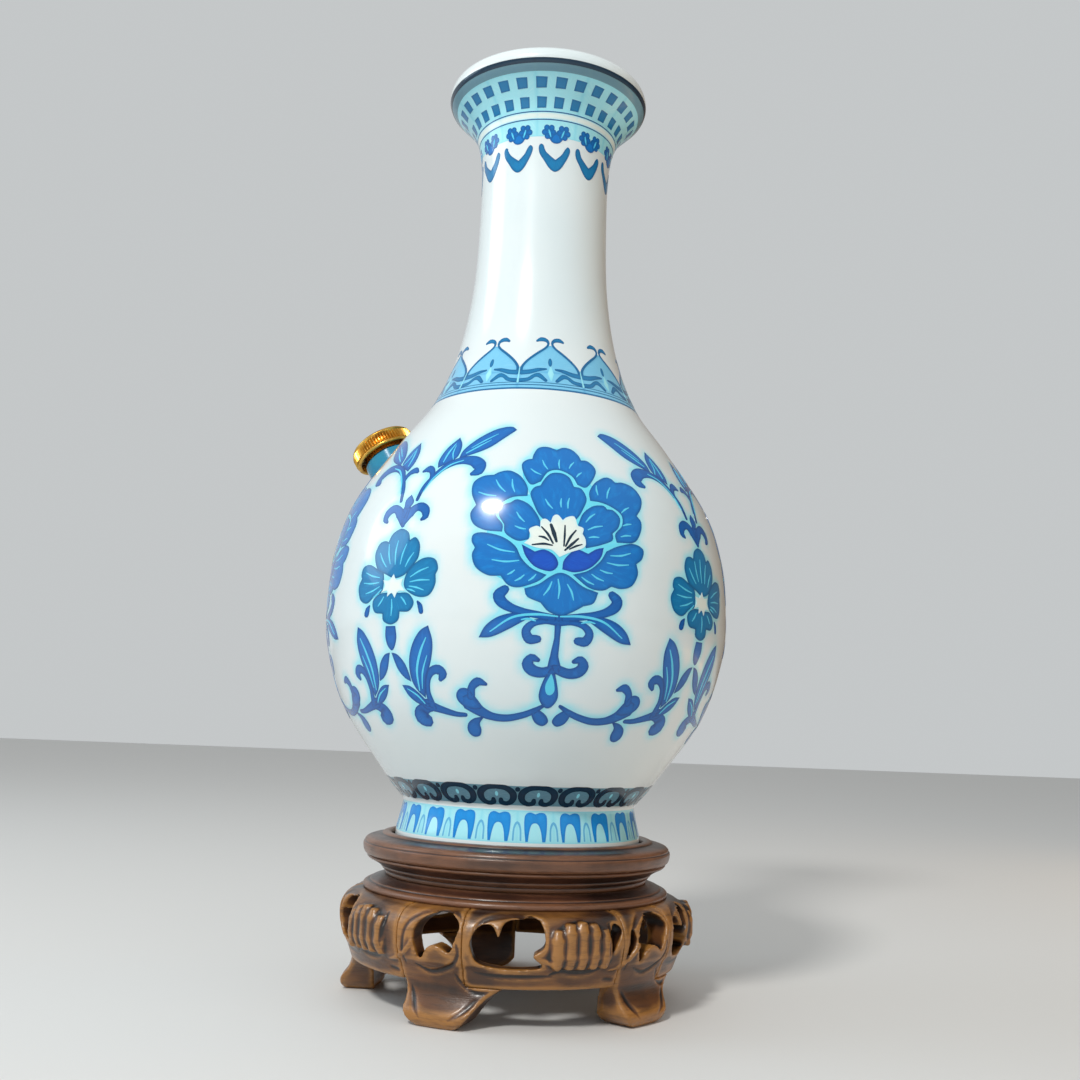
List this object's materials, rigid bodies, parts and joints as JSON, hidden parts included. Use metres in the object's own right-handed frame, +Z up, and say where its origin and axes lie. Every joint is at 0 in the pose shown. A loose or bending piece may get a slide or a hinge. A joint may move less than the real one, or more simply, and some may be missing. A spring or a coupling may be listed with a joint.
{
  "type": "vase",
  "caption": "Bottle-shaped porcelain vase with a flared mouth, painted blue flowers, a side spout with a screw cap, on a carved hardwood stand.",
  "frame": {"origin": "table level under the middle of the stand's round plate", "axes": "+Z up along the vase's axis; -Y is the front, where one large flower of the vase faces; the side spout leans out towards -X and +Y"},
  "size_m": [0.128, 0.128, 0.2978],
  "materials": {
    "stand_wood": "dark lacquered hardwood, worn golden on the ridges",
    "dowel_wood": "plain",
    "screw_brass": "dull",
    "porcelain": "glossy clear glaze over blue painting",
    "turquoise_glaze": "glossy",
    "gilt_brass": "polished, knurled",
    "cork_liner": "matte",
    "felt": "short felt"
  },
  "bodies": {
    "stand": {"stand_top": "stand_wood", "stand_waist": "stand_wood", "stand_collar": "stand_wood", "leg_1": "stand_wood", "leg_2": "stand_wood", "leg_3": "stand_wood", "leg_4": "stand_wood", "leg_5": "stand_wood", "apron_1": "stand_wood", "apron_2": "stand_wood", "apron_3": "stand_wood", "apron_4": "stand_wood", "apron_5": "stand_wood", "stand_screws": "screw_brass", "dowels": "dowel_wood"},
    "felt_ring": {"seat_felt": "felt"},
    "vase": {"vase_body": "porcelain", "side_spout": "turquoise_glaze", "spout_ferrule": "gilt_brass"},
    "liner": {"cap_liner": "cork_liner"},
    "cap": {"spout_cap": "gilt_brass"}
  },
  "joints": [
    {"name": "vase_turn", "type": "hinge", "parent": "stand", "child": "felt_ring", "pos_m": [0, 0, 0.0444], "axis": [0, 0, 1], "continuous": true},
    {"name": "vase_lift", "type": "slide", "parent": "felt_ring", "child": "vase", "axis": [0, 0, 1], "range_m": [0, 0.1]},
    {"name": "cap_lift", "type": "slide", "parent": "vase", "child": "liner", "axis": [-0.4717, 0.2723, 0.8387], "range_m": [0, 0.0026]},
    {"name": "cap_turn", "type": "hinge", "parent": "liner", "child": "cap", "pos_m": [-0.04711, 0.0272, 0.17217], "axis": [-0.4717, 0.2723, 0.8387], "range_deg": [0, 450]}
  ],
  "couplings": [
    {"joint": "cap_lift", "follows": "cap_turn", "m_per_rad": 0.00031831}
  ]
}
